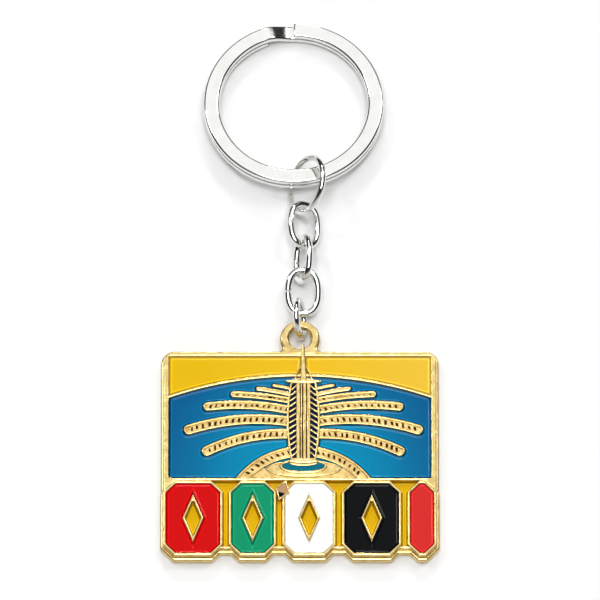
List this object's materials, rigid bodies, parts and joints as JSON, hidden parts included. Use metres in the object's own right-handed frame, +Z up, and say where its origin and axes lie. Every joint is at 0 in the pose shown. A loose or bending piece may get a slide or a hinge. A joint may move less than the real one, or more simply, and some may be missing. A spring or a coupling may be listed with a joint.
{
  "type": "keychain",
  "caption": "Souvenir keychain: cast metal charm with enamel fills, short oval-link chain with jump rings, and a flat-wire split ring, lying on its back.",
  "frame": {"origin": "under the middle of the whole keychain, on the surface that it lies on", "axes": "+X to the right across the charm's face, +Y from the charm along the chain to the split ring, +Z up out of the charm's front face"},
  "size_m": [0.0462, 0.0961, 0.0087],
  "materials": {
    "gold_plate": "bright gold plating on a cast zinc alloy",
    "nickel_plate": "polished nickel plating on steel wire",
    "yellow_enamel": "cured soft enamel, gloss",
    "blue_enamel": "cured soft enamel, gloss, shaded from deep blue to turquoise",
    "teal_enamel": "cured soft enamel, gloss",
    "navy_enamel": "cured soft enamel, gloss",
    "red_enamel": "cured soft enamel, gloss",
    "green_enamel": "cured soft enamel, gloss",
    "white_enamel": "cured soft enamel, gloss",
    "black_enamel": "cured soft enamel, gloss",
    "coral_enamel": "cured soft enamel, gloss",
    "beige_enamel": "cured soft enamel, gloss"
  },
  "bodies": {
    "charm": {"charm_plate": "gold_plate", "sky_enamel_left": "yellow_enamel", "sky_enamel_right": "yellow_enamel", "sea_enamel_left": "blue_enamel", "sea_enamel_right": "blue_enamel", "lagoon_enamel": "teal_enamel", "bay_enamel_left": "teal_enamel", "bay_enamel_right": "teal_enamel", "window_enamel_left": "navy_enamel", "window_enamel_right": "navy_enamel", "ground_enamel": "yellow_enamel", "tile_enamel_red": "red_enamel", "tile_enamel_green": "green_enamel", "tile_enamel_white": "white_enamel", "tile_enamel_black": "black_enamel", "tile_enamel_coral": "coral_enamel", "lozenge_enamel_beige": "beige_enamel", "lozenge_enamel_black": "black_enamel"},
    "lower_ring": {"lower_jump_ring": "nickel_plate"},
    "link_3": {"chain_link_3": "nickel_plate"},
    "link_2": {"chain_link_2": "nickel_plate"},
    "link_1": {"chain_link_1": "nickel_plate"},
    "upper_ring": {"upper_jump_ring": "nickel_plate"},
    "split_ring": {"split_ring": "nickel_plate"}
  },
  "joints": [
    {"name": "lower_ring_swing", "type": "hinge", "parent": "charm", "child": "lower_ring", "pos_m": [0.0004, -0.00636, 0.0022], "axis": [1, 0, 0], "range_deg": [-45, 40]},
    {"name": "link_3_swing", "type": "hinge", "parent": "lower_ring", "child": "link_3", "pos_m": [0, -0.00283, 0.0035], "axis": [-0.2079, 0, 0.9781], "range_deg": [-45, 45]},
    {"name": "link_2_swing", "type": "hinge", "parent": "link_3", "child": "link_2", "pos_m": [0.0005, 0.00284, 0.00336], "axis": [0.9976, 0, -0.0698], "range_deg": [-45, 45]},
    {"name": "link_1_swing", "type": "hinge", "parent": "link_2", "child": "link_1", "pos_m": [0.0005, 0.00876, 0.00288], "axis": [0.4226, 0, 0.9063], "range_deg": [-45, 45]},
    {"name": "upper_ring_swing", "type": "hinge", "parent": "link_1", "child": "upper_ring", "pos_m": [0.0007, 0.01486, 0.0029], "axis": [0.8829, 0, -0.4695], "range_deg": [-45, 45]},
    {"name": "split_ring_swing", "type": "hinge", "parent": "upper_ring", "child": "split_ring", "pos_m": [0.0008, 0.01946, 0.0033], "axis": [1, 0, 0], "range_deg": [-45, 45]}
  ]
}
